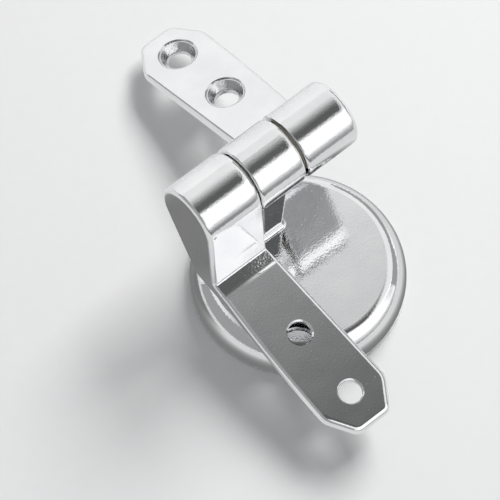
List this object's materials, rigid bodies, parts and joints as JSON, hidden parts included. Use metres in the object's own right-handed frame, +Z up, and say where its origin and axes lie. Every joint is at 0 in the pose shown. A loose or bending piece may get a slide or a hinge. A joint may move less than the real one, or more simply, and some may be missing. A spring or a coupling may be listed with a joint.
{
  "type": "toilet seat hinge",
  "caption": "Chromed toilet seat hinge: round base disc with a pillar and a knuckle barrel, and drilled seat and lid arms that swing on one pin",
  "frame": {"origin": "middle of the base disc's underside, at the mouth of the fixing hole", "axes": "+Z up off the pan, +X along the barrel from the seat arm to the lid arm, the seat lies towards -Y"},
  "size_m": [0.05, 0.11, 0.0429],
  "materials": {
    "chrome": "bright plated zinc casting, mirror smooth with a slight ripple",
    "pin_steel": "turned, lightly oiled",
    "bush_nylon": "natural cream nylon, matt"
  },
  "bodies": {
    "base": {"base_pillar": "chrome", "hinge_pin": "pin_steel"},
    "seat_leaf": {"seat_arm": "chrome", "seat_arm_bush": "bush_nylon"},
    "lid_leaf": {"lid_arm": "chrome", "lid_arm_bush": "bush_nylon"}
  },
  "joints": [
    {"name": "seat_hinge", "type": "hinge", "parent": "base", "child": "seat_leaf", "pos_m": [0, 0.0146, 0.0345], "axis": [-1, 0, 0], "range_deg": [-1.5, 235]},
    {"name": "lid_hinge", "type": "hinge", "parent": "base", "child": "lid_leaf", "pos_m": [0, 0.0146, 0.0345], "axis": [1, 0, 0], "range_deg": [-2.5, 241]}
  ]
}
